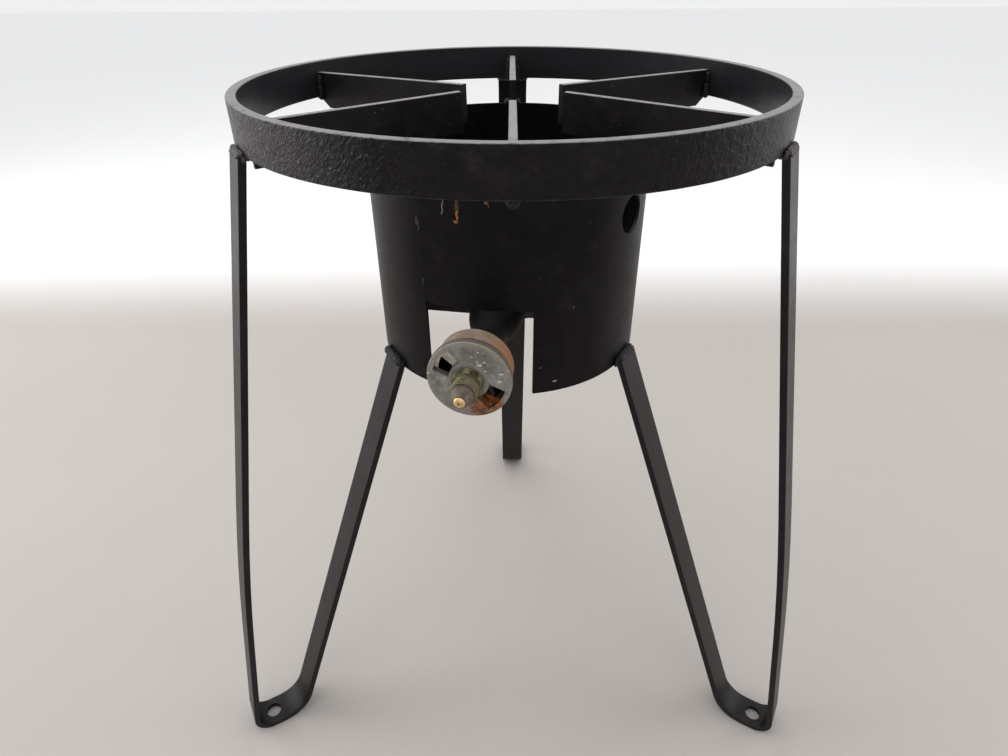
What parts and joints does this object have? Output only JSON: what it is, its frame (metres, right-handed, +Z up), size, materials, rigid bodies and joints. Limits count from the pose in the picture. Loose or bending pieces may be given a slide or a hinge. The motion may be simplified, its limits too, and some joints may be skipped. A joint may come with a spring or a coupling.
{
  "type": "tripod burner stand",
  "caption": "Tall welded steel tripod stand that carries a large pot on a ring of radial bars above a cast burner inside a round wind shroud, with an air shutter and a threaded gas inlet.",
  "frame": {"origin": "on the floor under the centre of the pot ring, at the centre of the circle of foot holes", "axes": "+Z up; +Y towards the rear leg, -Y towards the viewer and the air shutter; +X to the viewer's right"},
  "size_m": [0.4808, 0.4484, 0.5207],
  "materials": {
    "stand_paint": "black paint worn thin, satin",
    "shroud_paint": "black paint on rolled sheet, satin, dusty",
    "weld_bead": "lumpy weld metal under thin black paint",
    "burner_iron": "sand cast, dark, rust tan at the mouth",
    "shutter_grey": "bare grey casting, dull and spotted",
    "fitting_brass": "old brass, olive and dull",
    "insert_brass": "bright brass",
    "fastener_steel": "plated steel, heat dulled"
  },
  "bodies": {
    "stand": {"bar_to_ring_welds": "weld_bead", "bar_to_shroud_welds": "weld_bead", "bolt_washer": "fastener_steel", "burner_bolt": "fastener_steel", "burner_casting": "burner_iron", "burner_cross_bar": "stand_paint", "burner_lock_washer": "fastener_steel", "burner_nut": "fastener_steel", "burner_port_cap": "burner_iron", "cross_bar_welds": "weld_bead", "flare_fitting": "fitting_brass", "friction_washer": "fastener_steel", "grate_bar_front": "stand_paint", "grate_bar_left_front": "stand_paint", "grate_bar_left_rear": "stand_paint", "grate_bar_rear": "stand_paint", "grate_bar_right_front": "stand_paint", "grate_bar_right_rear": "stand_paint", "inlet_insert": "insert_brass", "leg_left": "stand_paint", "leg_rear": "stand_paint", "leg_right": "stand_paint", "leg_to_ring_welds": "weld_bead", "leg_to_shroud_welds": "weld_bead", "orifice_spud": "insert_brass", "shroud_seam_welds": "weld_bead", "top_ring": "stand_paint", "wind_shroud": "shroud_paint"},
    "shutter": {"air_shutter": "shutter_grey"}
  },
  "joints": [
    {"name": "shutter_turn", "type": "hinge", "parent": "stand", "child": "shutter", "pos_m": [-0.02557, -0.14161, 0.3778], "axis": [-0.1736, -0.9848, 0], "continuous": true}
  ]
}
